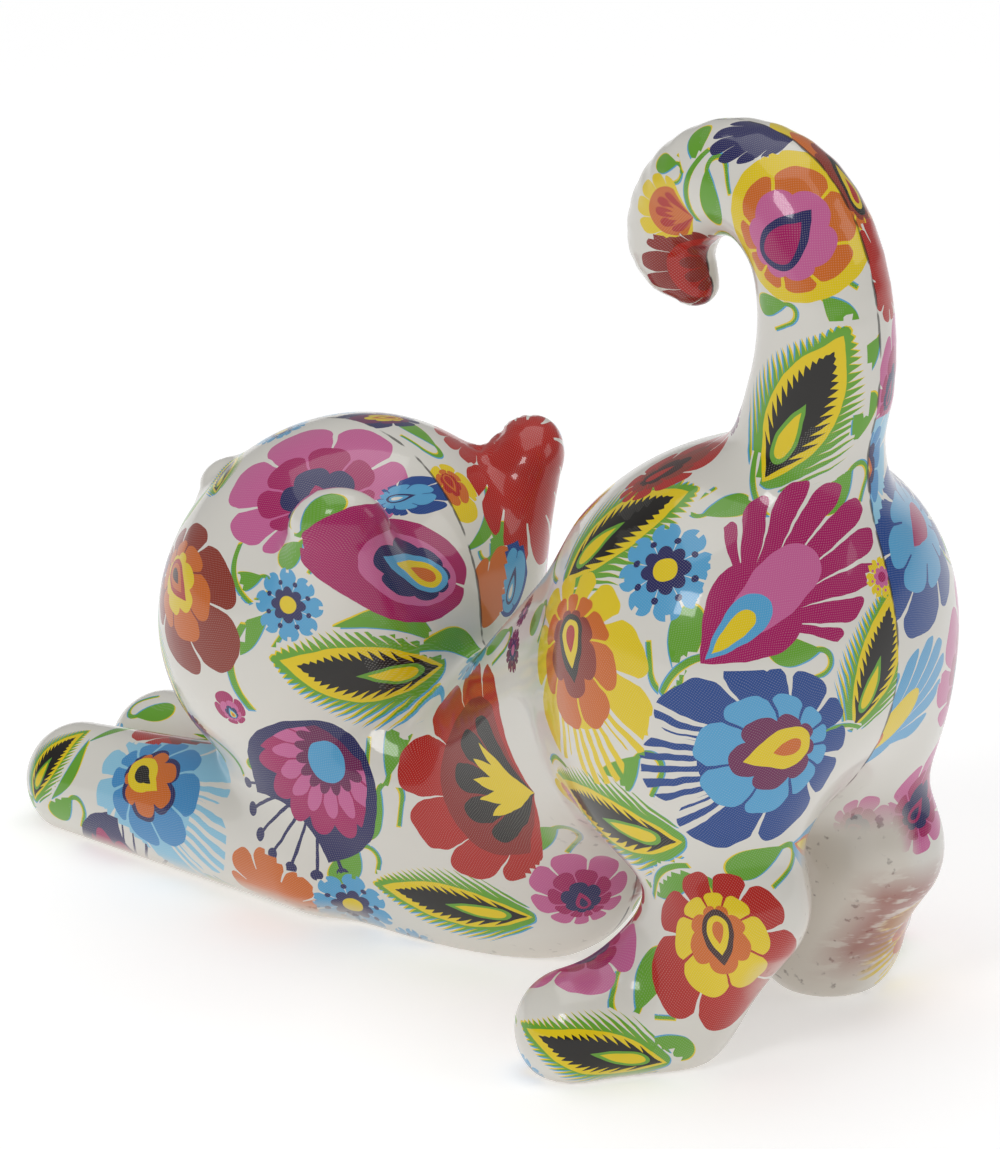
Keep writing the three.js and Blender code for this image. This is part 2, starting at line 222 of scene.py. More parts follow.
LEAVES = (
    Motif("neck feather", (361, 676), (4.9, 7.9), 178, FEATHER),
    Motif("belly feather", (450, 905), (3.6, 8), 168, FEATHER),
    Motif("hip feather", (606, 820), (4.8, 8), 150, FEATHER),
    Motif("back feather", (620, 525), (5.4, 7.4), 35, FEATHER),
    Motif("tail feather", (803, 408), (5, 7.8), 62, FEATHER),
    Motif("seam feather", (880, 660), (4, 6.4), 75, FEATHER),
    Motif("foot feather", (595, 1055), (3.6, 7), 172, FEATHER),
    Motif("paw feather", (50, 760), (2.4, 4.4), 50, FEATHER),
    Motif("brow feather", (225, 472), (2, 3.4), 60, FEATHER),
    Motif("neck crescent", (392, 628), (2.6, 5.4), 172, CRESCENT),
    Motif("haunch comma", (675, 652), (2.9, 3.8), 95, COMMA),
    Motif("hip comma", (631, 776), (2.9, 3.7), 245, COMMA),
    Motif("rosette comma", (803, 658), (2.5, 2.7), 200, COMMA),
    Motif("poppy comma", (549, 838), (2.7, 3.3), 230, COMMA),
    Motif("hock comma", (767, 863), (2.5, 3.2), 220, COMMA),
    Motif("knee sprig", (676, 889), (3.3, 4), 200, COMMA),
    Motif("shoulder long comma", (388, 750), (2.3, 3.8), 85, COMMA),
    Motif("shoulder comma", (378, 812), (2.6, 3.5), 265, COMMA),
    Motif("daisy comma", (357, 864), (2.6, 2.9), 260, COMMA),
    Motif("paw comma", (68, 810), (2.4, 2.3), 250, COMMA),
    Motif("paw crescent", (68, 770), (1.6, 3.4), 60, CRESCENT),
    Motif("bell comma", (261, 762), (1.3, 2.2), 240, COMMA),
    Motif("cheek comma", (252, 584), (1.8, 2), 210, COMMA),
    Motif("chin comma", (256, 634), (2.5, 3.4), 235, COMMA),
    Motif("ear comma", (308, 513), (2.6, 3), 60, COMMA),
    Motif("ear small comma", (297, 555), (2.2, 2.6), 240, COMMA),
    Motif("crown comma", (418, 435), (2.1, 3.2), 150, COMMA),
    Motif("ear right comma", (493, 541), (1.9, 2.4), 80, COMMA),
    Motif("tail hook comma", (775, 310), (1.9, 2.2), 200, COMMA),
    Motif("tail outer comma", (840, 305), (2.5, 2.6), 330, COMMA),
    Motif("tail back comma", (875, 355), (2.2, 2.6), 250, COMMA),
    Motif("tail inner comma", (712, 190), (2.3, 3), 285, COMMA),
    Motif("tail top comma", (692, 150), (2.1, 2.4), 100, COMMA),
    Motif("tail side comma", (668, 168), (1.8, 1.9), 200, COMMA),
    Motif("tail root comma", (856, 425), (2.2, 2.8), 80, COMMA),
    Motif("rump right comma", (846, 488), (2.2, 2.7), 250, COMMA),
    Motif("rump comma", (718, 505), (2.2, 2.5), 30, COMMA),
    Motif("nape crescent", (452, 650), (2.6, 4.8), 165, CRESCENT),
    Motif("nape leaf", (484, 520), (1.7, 4.2), 75, CRESCENT),
    Motif("far leg comma", (150, 709), (2.3, 2.6), 20, COMMA),
    Motif("far leg crescent", (120, 728), (1.6, 3.4), 10, CRESCENT),
    Motif("haunch stem", (690, 668), (1.6, 3.4), 30, STEM),
    Motif("carnation stem", (757, 482), (1.3, 3), 95, STEM),
    Motif("back stem", (556, 566), (1.2, 2.8), 85, STEM),
    Motif("chin stem", (236, 668), (2, 4.2), 95, STEM),
    Motif("cheek stem", (238, 575), (1.4, 2.8), 100, STEM),
    Motif("rosette stem", (840, 729), (1, 2.6), 10, STEM),
    Motif("hip stem", (664, 876), (1.4, 3), 45, STEM),
    Motif("tail stem", (690, 185), (1.4, 3.4), 80, STEM),
    Motif("leg comma", (640, 985), (2.7, 3.5), 80, COMMA),
    Motif("heel comma", (665, 1040), (2.6, 2.8), 0, COMMA),
)

# What fills the sides that the photograph hides, from large to small. The motifs of a tier take turns.
# Each has its half sizes in millimetres, how it is drawn, its inks and its petals. A leaf has no inks.
Filler = namedtuple("Filler", "half kind inks petals", defaults=("", 0))
FILL_TIERS = (
    (
        Filler((8.4, 8.6), COMBED_ROSE, "blue", 9),
        Filler((8.8, 7.8), POPPY, "red"),
        Filler((4.8, 8.6), FEATHER),
        Filler((7, 8.4), COMBED_ROSE, "yellow", 9),
        Filler((6.6, 9), CARNATION, "carnation", 8),
        Filler((7.4, 7), ROSE, "pink", 9),
        Filler((4.8, 8.6), FEATHER),
        Filler((6.8, 7.8), ASTER, "sky", 9),
        Filler((6.8, 7.4), BELL, "bell", 7),
        Filler((6.4, 7.4), ROSE, "leg", 7),
    ),
    (
        Filler((4, 4), DAISY, "daisy", 8),
        Filler((4.6, 4.4), ROSE, "pink", 9),
        Filler((3.6, 6), FEATHER),
        Filler((4.4, 4.8), ROSE, "leg", 7),
        Filler((4, 5.4), CARNATION, "sheaf", 7),
    ),
    (
        Filler((2.6, 2.6), DAISY, "daisy", 8),
        Filler((2.4, 3), COMMA),
        Filler((2.2, 2.6), ROSE, "tail", 5),
        Filler((1.8, 3.6), CRESCENT),
    ),
    (
        Filler((1.7, 2.1), COMMA),
        Filler((-1.7, 2.1), COMMA),
        Filler((1.5, 1.6), DAISY, "plum", 7),
        Filler((1.2, 2.6), STEM),
    ),
)

# How many times each tier is thrown, and from which seed.
FILL_TRIES = 1400
FILL_SEED = 7

# How near to others a motif may land, as a share of their half sizes. Those that face further away than the
# cosine don't count. The face keeps a clear space in millimetres.
FILL_SPACING = 0.84
FILL_TURN = -0.3
FACE_CLEAR = 7.5

# A motif must be hidden at its middle and at some steps round it, this share of the way to its rim. What
# the photograph sees at less than the cosine counts as hidden.
FILL_RIM_STEPS = 6
FILL_SHOWING = 0.6
FILL_EDGE_ON = 0.3

# How far a patch reaches past its outline, and how far a comma gives way to what it overlaps.
PATCH_MARGIN = 0.1
COMMA_YIELD = 0.6

# How far out a patch looks for faces, in its half size, and how far they may turn from it, as a cosine.
PATCH_REACH = 1.6
PATCH_TURN = -0.1

# Petals and stems stop just short of their patch's edge.
RIM = 0.98

# The film's flaws: how far a drawing wanders, in its half size, and how far its plates slip apart, in
# millimetres. The dot screen has its radians to a millimetre, the level that makes a dot, and how pale it is.
WOBBLE = 0.07
PLATE_SLIP = 0.06
SCREEN_RATE = 23
SCREEN_LEVEL = 0.35
SCREEN_PALENESS = 0.13

# Where the film ends, as what is still covered and what is bare: heights in millimetres, and how far the
# surface faces the middle of the cat or the ground, as a cosine.
BARE_LEG_TOP = 22, 18
BARE_LEG_FACING = 0.1, 0.4
UNDERSIDE_TOP = 24, 20
UNDERSIDE_FACING = 0.5, 0.8

# Where the smear starts and where it is full: heights, and how far the surface faces the photograph's right.
SMEAR_TOP = 15, 12
SMEAR_FOOT = 2, 6
SMEAR_FACING = -0.35, 0.15

# How far along the cat its hind legs reach.
HIND_LEG_FRONT = 14

# Each light's place and width, and half the floor's width, in metres.
KEY_LIGHT = (-0.2, 0.95, 0.75), 0.3
TOP_LIGHT = (0.1, -0.1, 1.3), 1.3
SIDE_LIGHT = (-0.9, -0.5, 0.6), 0.5
FLOOR_HALF = 6


def srgb(red, green, blue):
    """A screen colour from 0 to 255 as the linear colour that shaders take."""
    shares = (red / 255, green / 255, blue / 255)
    return tuple(c / 12.92 if c <= 0.04045 else ((c + 0.055) / 1.055) ** 2.4 for c in shares)


# Nodes


def pairing(operation):
    """Two methods that add a Math node: one takes this value first, the other takes it second."""

    def first(self, other):
        return self.math(operation, self, other)

    def second(self, other):
        return self.math(operation, other, self)

    return first, second


def alone(operation):
    """A method that adds a Math node on this value alone."""

    def method(self):
        return self.math(operation, self)

    return method


class Term:
    """A socket in a node tree. Arithmetic on it adds Math nodes and gives another Term."""

    def __init__(self, tree, socket):
        self.tree = tree
        self.socket = socket

    @classmethod
    def node(cls, tree, kind, settings=None, sockets=None, output=0):
        """Adds a node. Its settings come first, then the values or links of its sockets."""
        node = tree.nodes.new(kind)
        for name, value in (settings or {}).items():
            if name == "stops":
                cls.fill_ramp(node.color_ramp, value)
            else:
                setattr(node, name, value)
        for key, value in (sockets or {}).items():
            if isinstance(value, Term):
                tree.links.new(value.socket, node.inputs[key])
            else:
                node.inputs[key].default_value = value
        return cls(tree, node.outputs[output])

    @staticmethod
    def fill_ramp(ramp, colours):
        """Gives a ramp one flat step for each colour."""
        ramp.interpolation = "CONSTANT"
        while len(ramp.elements) < len(colours):
            ramp.elements.new(1)
        for index, colour in enumerate(colours):
            ramp.elements[index].position = index / len(colours)
            ramp.elements[index].color = (*colour, 1)

    def math(self, operation, *values):
        """A Math node on the given values."""
        return Term.node(self.tree, "ShaderNodeMath", {"operation": operation}, dict(enumerate(values)))

    def vector(self, operation, other=None, output=0):
        """A Vector Math node on this vector and another."""
        sockets = {0: self}
        if other is not None:
            sockets[1] = other
        return Term.node(self.tree, "ShaderNodeVectorMath", {"operation": operation}, sockets, output)

    __add__, __radd__ = pairing("ADD")
    __sub__, __rsub__ = pairing("SUBTRACT")
    __mul__, __rmul__ = pairing("MULTIPLY")
    __truediv__, __rtruediv__ = pairing("DIVIDE")
    __pow__ = pairing("POWER")[0]
    __lt__ = pairing("LESS_THAN")[0]
    __gt__ = pairing("GREATER_THAN")[0]
    least = pairing("MINIMUM")[0]
    most = pairing("MAXIMUM")[0]
    __abs__ = alone("ABSOLUTE")
    root = alone("SQRT")
    sine = alone("SINE")
    cosine = alone("COSINE")
    fraction = alone("FRACT")

    def __neg__(self):
        return self.math("MULTIPLY", self, -1)

    def matches(self, number):
        """1 where this value is the given whole number, and 0 elsewhere."""
        return self.math("COMPARE", self, number, 0.5)

    def between(self, low, high):
        """Rises smoothly from 0 at low to 1 at high."""
        sockets = {"Value": self, "From Min": low, "From Max": high}
        return Term.node(self.tree, "ShaderNodeMapRange", {"interpolation_type": "SMOOTHSTEP"}, sockets)

    def clamped(self):
        return Term.node(self.tree, "ShaderNodeClamp", None, {"Value": self})

    def length(self):
        return self.vector("LENGTH", output="Value")

    def dot(self, other):
        return self.vector("DOT_PRODUCT", other, "Value")

    def scaled(self, amount):
        sockets = {"Vector": self, "Scale": amount}
        return Term.node(self.tree, "ShaderNodeVectorMath", {"operation": "SCALE"}, sockets)

    def over(self, colour, amount):
        """This colour with another laid over it."""
        if not isinstance(colour, Term):
            colour = (*colour, 1)
        sockets = {0: amount, 6: self, 7: colour}
        return Term.node(self.tree, "ShaderNodeMix", {"data_type": "RGBA"}, sockets, 2)

    def parts(self):
        """A vector's three parts."""
        first = Term.node(self.tree, "ShaderNodeSeparateXYZ", None, {0: self})
        return [Term(self.tree, socket) for socket in first.socket.node.outputs]


def joined(tree, x, y, z):
    """A vector from three values."""
    return Term.node(tree, "ShaderNodeCombineXYZ", None, {0: x, 1: y, 2: z})


def attribute(tree, name):
    """A vector that the mesh carries."""
    return Term.node(tree, "ShaderNodeAttribute", {"attribute_name": name}, None, "Vector")


def plain(tree, colour):
    """A colour as a node."""
    paint = Term.node(tree, "ShaderNodeRGB")
    paint.socket.default_value = (*colour, 1)
    return paint


def noise(place, scale, detail=2, roughness=0.5):
    """Noise from 0 to 1 over a place."""
    sockets = {"Vector": place, "Scale": scale, "Detail": detail, "Roughness": roughness}
    return Term.node(place.tree, "ShaderNodeTexNoise", {"noise_dimensions": "3D"}, sockets)


# The casting's form, as a distance that is negative inside


def ellipsoid(place, lump):
    """Distance to an ellipsoid."""
    centre, radii = lump
    offset = place.vector("SUBTRACT", centre)
    near = offset.vector("DIVIDE", radii).length()
    slope = offset.vector("DIVIDE", [r * r for r in radii]).length()
    return near * (near - 1) / slope


def taper(place, lump):
    """Distance to a round bar whose radius runs from one end's to the other's."""
    start, end, (first, last) = lump
    axis = Vector(end) - Vector(start)
    offset = place.vector("SUBTRACT", start)
    along = offset.dot(axis / axis.length_squared).clamped()
    away = offset.vector("SUBTRACT", joined(place.tree, *(along * part for part in axis))).length()
    return away - (first + along * (last - first))


def flap(place, lump, facing, flatness):
    """Distance to a taper pressed flat along one direction."""
    facing = Vector(facing).normalized()
    depth = place.vector("SUBTRACT", lump[0]).dot(facing) * (flatness - 1)
    pushed = joined(place.tree, *(depth * part for part in facing))
    return taper(place.vector("ADD", pushed), lump) / flatness


def melt(blend, first, *others):
    """Joins forms into one, with a soft fillet where they meet."""
    whole = first
    for other in others:
        whole = whole.math("SMOOTH_MIN", whole, other, blend)
    return whole


def carve(blend, body, tool):
    """Takes a tool's form out of a body."""
    return -melt(blend, -body, tool)


def mirrored(place):
    """Folds the right side onto the left, so that one form makes a pair."""
    x, y, z = place.parts()
    return joined(place.tree, x, abs(y), z)


def head_form(place):
    """The head with its ears and plain face."""
    x, y, z = place.vector("SUBTRACT", HEAD_PLACE).parts()
    across = math.cos(HEAD_PITCH)
    down = math.sin(HEAD_PITCH)
    level = joined(place.tree, x * across + z * down, y, z * across - x * down)
    pair = mirrored(level)
    face = ellipsoid(level, NOSE), ellipsoid(pair, LIP), ellipsoid(pair, EYE)
    skull = melt(HEAD_BLEND, ellipsoid(level, SKULL), *face)
    ear = carve(HOLLOW_BLEND, flap(pair, EAR, EAR_FACING, EAR_FLATNESS), taper(pair, EAR_HOLLOW))
    head = melt(EAR_BLEND, skull, ear)
    for groove in (MOUTH_DROP, MOUTH_SIDE, MOUTH_CORNER, LID_INNER, LID_OUTER):
        head = carve(FACE_BLEND, head, taper(pair, groove))
    return melt(FACE_BLEND, head, ellipsoid(level, NOSE_PAD))


def tail_bars():
    """Bars from station to station of the tail, each station span split by a smooth midpoint."""
    stations = [Vector(station) for station in TAIL]
    ends = [2 * stations[0] - stations[1], *stations, 2 * stations[-1] - stations[-2]]
    line = []
    for before, here, ahead, beyond in zip(ends, ends[1:], ends[2:], ends[3:]):
        line.append(here)
        line.append((9 * (here + ahead) - before - beyond) / 16)
    line.append(stations[-1])
    for here, ahead in zip(line, line[1:]):
        yield (here.x, 0, here.y), (ahead.x, 0, ahead.y), (here.z, ahead.z)


def tail_form(place):
    """The hooked tail."""
    whole = None
    for bar in tail_bars():
        form = taper(place, bar)
        whole = form if whole is None else whole.least(form)
    return melt(NUB_BLEND, whole, ellipsoid(place, TAIL_NUB))


def folds(place, spots, height):
    """Small folds in the film round a few spots."""
    reach = None
    for middle, radius in spots:
        near = 1 - (place.vector("SUBTRACT", middle).length() / radius).clamped()
        reach = near if reach is None else reach.most(near)
    creases = abs(noise(place, FOLD_SCALE, 1.5) - 0.5) * 4
    return (creases - 0.5) * reach.between(0, 0.6) * height


def cat_form(place, edge, fold_height):
    """The whole cat, flat where it meets the ground."""
    pair = mirrored(place)
    trunk = melt(TRUNK_BLEND, ellipsoid(place, RUMP), taper(place, LOIN), ellipsoid(place, CHEST))
    hind = melt(HIND_BLEND, ellipsoid(pair, THIGH), taper(pair, SHIN), taper(pair, HIND_FOOT))
    fore = melt(FORE_BLEND, taper(pair, FORELEG), ellipsoid(pair, SHOULDER))
    standing = melt(FORE_BLEND, melt(HIND_BLEND, trunk, hind), fore)
    cat = melt(TAIL_BLEND, melt(NECK_BLEND, standing, head_form(place)), tail_form(place))
    cat = cat + folds(place, (TAIL_TIP_FOLDS, RIGHT_EAR_FOLDS), fold_height)
    ground = place.parts()[2]
    return -melt(edge, -cat, ground)


def casting_tree(material):
    """Geometry nodes that draw the cat from its form."""
    tree = bpy.data.node_groups.new("cat_casting", "GeometryNodeTree")
    sizes = {}
    for name, value in (("Cell", CELL), ("Ground Edge", GROUND_EDGE), ("Fold Height", FOLD_HEIGHT)):
        size = tree.interface.new_socket(name, in_out="INPUT", socket_type="NodeSocketFloat")
        size.default_value = value
        sizes[name] = size.identifier
    tree.interface.new_socket("Geometry", in_out="OUTPUT", socket_type="NodeSocketGeometry")
    given = tree.nodes.new("NodeGroupInput")
    cell, edge, fold_height = (Term(tree, given.outputs[name]) for name in sizes)
    place = Term.node(tree, "GeometryNodeInputPosition")
    form = cat_form(place, edge, fold_height)
    box = {"Density": 0.5 - form, "Min": CASTING_LOW, "Max": CASTING_HIGH}
    for axis, low, high in zip("XYZ", CASTING_LOW, CASTING_HIGH):
        box["Resolution " + axis] = (high - low) / cell
    cloud = Term.node(tree, "GeometryNodeVolumeCube", None, box)
    skin = Term.node(tree, "GeometryNodeVolumeToMesh", None, {"Volume": cloud, "Threshold": 0.5})
    outward = Term.node(tree, "GeometryNodeInputNormal")
    for _ in range(2):
        settle = {"Geometry": skin, "Offset": outward.scaled(-form)}
        skin = Term.node(tree, "GeometryNodeSetPosition", None, settle)
    skin = Term.node(tree, "GeometryNodeSetShadeSmooth", None, {"Geometry": skin})
    shift = {"Geometry": skin, "Translation": (-MIDDLE_X * MM, 0, 0), "Scale": (MM, MM, MM)}
    skin = Term.node(tree, "GeometryNodeTransform", None, shift)
    skin = Term.node(tree, "GeometryNodeRealizeInstances", None, {"Geometry": skin})
    skin = Term.node(tree, "GeometryNodeSetMaterial", None, {"Geometry": skin, "Material": material})
    out = tree.nodes.new("NodeGroupOutput")
    tree.links.new(skin.socket, out.inputs["Geometry"])
    return tree, sizes


def cast_cat(casting, material):
    """The cat as a plain mesh, split along its middle for the print's seam."""
    tree, sizes = casting_tree(material)
    mould = bpy.data.objects.new("cat_mould", bpy.data.meshes.new("cat_mould"))
    bpy.context.scene.collection.objects.link(mould)
    modifier = mould.modifiers.new("Casting", "NODES")
    modifier.node_group = tree
    modifier[sizes["Cell"]] = casting.cell / MM
    modifier[sizes["Ground Edge"]] = casting.ground_edge / MM
    modifier[sizes["Fold Height"]] = casting.fold_height / MM
    graph = bpy.context.evaluated_depsgraph_get()
    mesh = bpy.data.meshes.new_from_object(mould.evaluated_get(graph))
    bpy.data.objects.remove(mould)
    if not mesh.polygons:
        raise RuntimeError("the casting came out empty")
    shell = bmesh.new()
    shell.from_mesh(mesh)
    everything = [*shell.verts, *shell.edges, *shell.faces]
    bmesh.ops.bisect_plane(
        shell, geom=everything, dist=SEAM_SNAP * MM, plane_co=(0, 0, 0), plane_no=(0, 1, 0)
    )
    shell.to_mesh(mesh)
    shell.free()
    mesh.name = "printed_cat"
    cat = bpy.data.objects.new("printed_cat", mesh)
    bpy.context.scene.collection.objects.link(cat)
    return cat


# The print's drawing, in a motif's own width and height from -1 to 1


def lobes(turn, count, shift=0.0):
    """Ripples round a middle: 0 along each petal and 1 between two of them."""
    return abs((turn * count / TAU + (0.5 + shift)).fraction() - 0.5) * 2


def off_gap(gap, reach, petals, spread=math.pi):
    """How far a point is from the nearest gap between two petals."""
    return (1 - gap) * reach * spread / petals


def polar(u, v):
    """How far a point is from the middle, and how far round from straight up."""
    return joined(u.tree, u, v, 0).length().most(0.001), u.math("ARCTAN2", u, v)


def drop(u, v, base, tip, width):
    """A drop, round at its base and pointed at its tip."""
    along = (v - base) / (tip - base)
    return abs(u) < along.root() * (1 - along) * (2.6 * width)


def rose(u, v, petals, kind):
    """Petals that fan out from a point low down, round a ring, a core and a drop-shaped heart."""
    low = 0.42
    comb_teeth = 52
    comb_spread = 0.58
    rise = v + low
    reach, turn = polar(u, rise)
    lean = u / reach
    part = reach / (rise / reach * low + (1 - lean * lean * low * low).root())
    gap = lobes(turn, petals)
    full = kind < ROSE - 0.5
    combed = kind > COMBED_ROSE - 0.5
    petal = part < RIM - gap ** 4 * (1 - full) * 0.2
    lobed = petals > 1.5
    slit = (off_gap(gap, reach, petals) < part * 0.09 - 0.045) * (kind > ROSE - 0.5)
    teeth = (lobes(turn, comb_teeth) > 0.55) * (abs(turn) < comb_spread) * (part > 0.6) * combed
    inner = lobes(turn, petals, 0.5)
    ring = part < 0.63 + full * 0.16 - inner ** 4 * lobed * 0.12
    vein = (off_gap(inner, reach, petals) < part * 0.04 - 0.004) * lobed
    core = part < 0.52 + full * 0.18 - lobed * 0.12 - lobes(turn, 7) ** 3 * 0.08
    close = 0.7 + lobed * (1 - full) * 0.3
    u = u * close
    rise = rise * close
    floret = kind > ASTER - 0.5
    return (
        petal * (1 - slit.most(teeth)),
        ring * (1 - vein),
        core,
        drop(u, rise, -0.19, 0.44, 0.21).most(floret * (part < 0.36 - lobes(turn, 8) ** 3 * 0.09)),
        drop(u, rise, -0.14, 0.3, 0.15).most(floret * (reach < 0.2)),
        drop(u, rise, -0.09, 0.16, 0.08).most(floret * (reach < 0.1)),
    )


def poppy(u, v):
    """Petals, dark fingers and a pale hand that all fan out from a point at the foot."""
    spread = 1.15
    finger_spread = 0.85
    hand_spread = 0.55
    petals = 7
    fingers = 5
    reach, turn = polar(u, v + 0.94)
    part = reach / ((turn * 0.9).cosine().most(0.05) * 1.9)
    gap = lobes(turn * (math.pi / spread), petals)
    petal = (part < RIM - gap ** 4 * 0.16) * (abs(turn) < spread)
    slit = off_gap(gap, reach, petals, spread) < part * 0.06 - 0.04
    between = lobes(turn * (math.pi / finger_spread), fingers)
    finger = (part < 0.6 - between ** 3 * 0.14) * (abs(turn) < finger_spread)
    apart = off_gap(between, reach, fingers, finger_spread) < part * 0.07 - 0.02
    hand = part < 0.45 - lobes(turn * (math.pi / hand_spread), fingers) * 0.14
    return (
        petal * (1 - slit),
        (part < 0.72) * (abs(turn) < 1),
        finger * (1 - apart),
        hand * (abs(turn) < hand_spread),
        None,
        None,
    )


def carnation(u, v, petals):
    """A pointed cup that opens into a fan of fingers."""
    spread = 1.1
    reach, turn = polar(u, v + 0.55)
    part = reach / (1.5 - turn * turn * 0.3)
    open_fan = abs(turn) < spread
    gap = lobes(turn * (math.pi / spread), petals)
    finger = (part < RIM - gap ** 4 * 0.2) * open_fan
    slit = off_gap(gap, reach, petals, spread) < part * 0.06 - 0.026
    return (
        drop(u, v, -0.05, -1.02, 0.6).most(finger * (1 - slit)),
        drop(u, v, 0.34, -0.9, 0.34),
        drop(u, v, -0.25, -0.97, 0.24),
        None,
        drop(u, v, -0.42, -0.9, 0.13),
        None,
    )


def bell(u, v):
    """A bell with rows of petals that fan out from an oval, and threads and dots at its mouth."""
    count = 7
    thread_spread = 0.8
    side = abs(u)
    wall = (1 - ((v + 0.12) / 0.88) ** 2).most(0).root() * 0.92
    cup = (side < wall) * (v < side * side * 0.8 + 0.24)
    inside = (side < wall - 0.15) * (v > -0.86)
    reach, turn = polar(u, v + 0.72)
    gap = lobes(turn * 2.4, count)
    shifted = lobes(turn * 2.4, count, 0.5)
    outer = reach < 1.04 - gap ** 2 * 0.18
    inner = (reach < 0.78 - shifted ** 2 * 0.24) * ((1 - shifted) * reach > 0.06)
    deep = reach < 0.48 - gap ** 2 * 0.12
    oval = joined(u.tree, u / 0.27, (v + 0.6) / 0.2, 0).length() < 1
    reach, turn = polar(u, v + 0.4)
    thread = lobes(turn * (math.pi / thread_spread), count) * reach * thread_spread / count
    threads = (thread < 0.02) * (reach > 0.6) * (reach < 1.24)
    dots = joined(u.tree, thread, reach - 1.27, 0).length() < 0.07
    fringe = threads.most(dots) * (abs(turn) < thread_spread)
    return cup.most(fringe), inside * outer, inside * inner, inside * deep, oval, None


def daisy(u, v, petals):
    """Notched petals round a scalloped ring with dots and a plain heart."""
    reach, turn = polar(u, v)
    gap = lobes(turn, petals)
    petal = (reach < RIM - gap ** 3 * 0.22) * (1 - (gap < 0.14) * (reach > 0.86))
    slit = off_gap(gap, reach, petals) < reach * 0.06 - 0.02
    scallops = 8
    scallop = lobes(turn, scallops)
    dots = joined(u.tree, off_gap(scallop, reach, scallops), reach - 0.62, 0).length() < 0.07
    ring = (reach < 0.5 - scallop ** 2 * 0.12).most(dots)
    return petal * (1 - slit), None, ring, None, reach < 0.24, None


def flower_layers(u, v, kind, petals):
    """The six layers of whichever flower a face carries."""
    apart = 9.0
    drawings = (
        rose(u + (kind > ASTER + 0.5) * apart, v, petals, kind),
        poppy(u + (1 - kind.matches(POPPY)) * apart, v),
        carnation(u + (1 - kind.matches(CARNATION)) * apart, v, petals),
        bell(u + (1 - kind.matches(BELL)) * apart, v),
        daisy(u + (kind < DAISY - 0.5) * apart, v, petals),
    )
    for layer in zip(*drawings):
        masks = [mask for mask in layer if mask is not None]
        whole = masks[0]
        for mask in masks[1:]:
            whole = whole.most(mask)
        yield whole * (kind > 0.5)


def feather(u, v):
    """A leaf's spiky outline and the slope of its spikes."""
    side = abs(u)
    climb = ((v + 1) * 0.5).clamped() ** 0.8
    half = (climb * math.pi).sine().most(0) ** 0.75
    spikes = abs(((v - side * 0.8) * 8).fraction() - 0.5) * 2
    return side, half, spikes


def comma(u, v):
    """A plump drop whose tip curls round into a thin stem."""
    bent = u - 0.1 - (v + 0.45) * 0.3
    hook = joined(u.tree, u + 0.34, v + 0.45, 0).length() - 0.44
    stem = (abs(hook) < 0.09) * (v < -0.45)
    shank = (abs(u + 0.78) < 0.08) * (abs(v + 0.1) < 0.36)
    return drop(bent, v, 1, -0.66, 0.52).most(stem).most(shank)


def off_crescent(u, v):
    """How far a point is outside a leaf bent like a bow."""
    return abs(u - 0.35 + v * v * 0.9) - (1 - v * v) * 0.42


def off_stem(u, v):
    """How far a point is outside a thin line with a gentle bend."""
    return abs(u - v * v * 0.8 + 0.3) - 0.2


def leaf_plate(u, v, kind):
    """Where one plate prints a leaf."""
    side, half, spikes = feather(u, v)
    blade = (side < half * (1.08 - spikes * 0.48)) * kind.matches(FEATHER)
    curl = comma(u, v) * kind.matches(COMMA)
    bow = (off_crescent(u, v) < 0) * kind.matches(CRESCENT)
    line = (off_stem(u, v) < 0) * (abs(v) < RIM) * (kind > STEM - 0.5)
    return blade.most(curl).most(bow).most(line)


def leaf_colours(under, at, kind, inks):
    """Leaves over a colour. Their blue and yellow plates are printed a little apart."""
    u, v, size = at.parts()
    slip = PLATE_SLIP / size.most(0.5)
    blue = leaf_plate(u + slip, v + slip, kind)
    yellow = leaf_plate(u - slip, v - slip, kind)
    side, half, spikes = feather(u, v)
    feathered = kind.matches(FEATHER)
    colour = under.over(inks.sky, blue).over(inks.yellow, yellow).over(inks.green, blue * yellow)
    band = (side < (1 - ((v + 0.04) / 0.92) ** 2).most(0) * 0.58) * feathered
    core = (side < (1 - ((v + 0.1) / 0.8) ** 2).most(0) * (0.52 - spikes * 0.2)) * feathered
    colour = colour.over(inks.yellow, band).over(inks.black, core)
    colour = colour.over(inks.green, drop(u, v, -0.72, 0.06, 0.2) * feathered)
    return colour.over(inks.yellow, drop(u, v, -0.66, -0.06, 0.14) * feathered)


def flower_colours(under, at, look, inks):
    """Flowers over a colour, each layer in the ink that its scheme gives it."""
    u, v, _ = at.parts()
    kind, scheme, petals = look.parts()
    shade = (scheme + 0.5) / len(SCHEMES)
    colour = under
    for layer, mask in enumerate(flower_layers(u, v, kind, petals.most(1))):
        stops = [getattr(inks, names.split()[layer]) for names in SCHEMES.values()]
        paint = Term.node(under.tree, "ShaderNodeValToRGB", {"stops": stops}, {0: shade})
        colour = colour.over(paint, mask)
    return colour


def dot_screen(at):
    """The halftone dots of the flowers."""
    u, v, size = at.parts()
    return (u * size * SCREEN_RATE).sine() * (v * size * SCREEN_RATE).sine() > SCREEN_LEVEL


def wandering(place):
    """How far the drawing wanders from its place."""
    drift = {"Vector": place, "Scale": 0.45, "Detail": 1.5}
    drift = Term.node(place.tree, "ShaderNodeTexNoise", None, drift, "Color")
    return drift.vector("SUBTRACT", (0.5, 0.5, 0.5)).vector("MULTIPLY", (WOBBLE, WOBBLE, 0))


